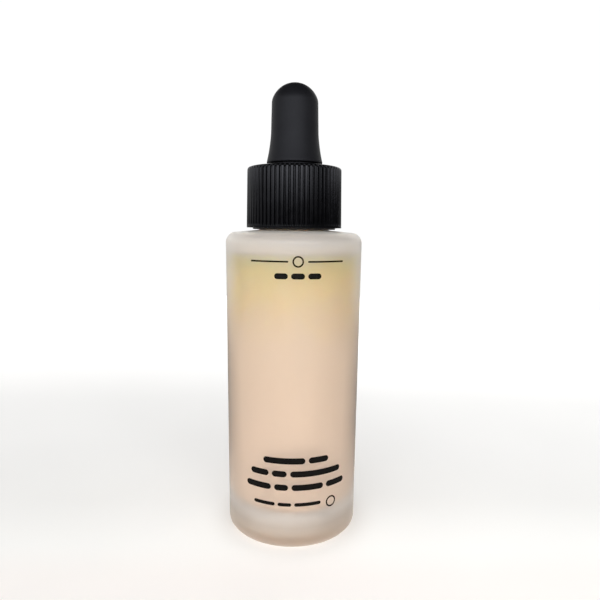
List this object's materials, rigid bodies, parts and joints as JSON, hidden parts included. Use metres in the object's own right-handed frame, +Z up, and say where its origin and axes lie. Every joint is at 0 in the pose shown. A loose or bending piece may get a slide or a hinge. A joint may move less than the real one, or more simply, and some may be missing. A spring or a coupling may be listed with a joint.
{
  "type": "foundation bottle",
  "caption": "Cylindrical frosted glass bottle of liquid foundation with a ribbed black screw collar, glass dropper pipette and black rubber squeeze bulb.",
  "frame": {"origin": "centre of the base, on the surface that the bottle stands on", "axes": "+Z up along the bottle's axis, from the base to the top of the bulb"},
  "size_m": [0.032, 0.032, 0.1058],
  "materials": {
    "frosted_glass": "frosted outside, smooth inside",
    "foundation_liquid": "opaque cream, yellower towards the top",
    "wiper_plastic": "natural translucent polyethylene",
    "seal_foam": "soft white foamed polyethylene",
    "clear_glass": "clear, fire polished",
    "bulb_rubber": "soft-touch matt black",
    "cap_plastic": "smooth moulded black",
    "shell_plastic": "satin moulded black, fluted"
  },
  "bodies": {
    "bottle": {"glass_bottle": "frosted_glass", "foundation_fill": "foundation_liquid", "neck_wiper": "wiper_plastic"},
    "liner": {"sealing_ring": "seal_foam"},
    "dropper": {"glass_pipette": "clear_glass"},
    "collar": {"inner_threaded_cap": "cap_plastic", "outer_ribbed_shell": "shell_plastic"},
    "bulb": {"rubber_bulb": "bulb_rubber"}
  },
  "joints": [
    {"name": "dropper_lift_off", "type": "slide", "parent": "bottle", "child": "liner", "axis": [0, 0, 1], "range_m": [0, 0.085]},
    {"name": "closure_rise", "type": "slide", "parent": "liner", "child": "dropper", "axis": [0, 0, 1], "range_m": [0, 0.00476]},
    {"name": "closure_turn", "type": "hinge", "parent": "dropper", "child": "collar", "pos_m": [0, 0, 0.08], "axis": [0, 0, 1], "range_deg": [0, 540]},
    {"name": "bulb_squeeze", "type": "slide", "parent": "dropper", "child": "bulb", "axis": [0, 0, -1], "range_m": [0, 0.003], "stiffness_N_per_m": 800, "deforming": ["rubber_bulb"]}
  ],
  "couplings": [
    {"joint": "closure_turn", "follows": "closure_rise", "rad_per_m": 1979}
  ]
}
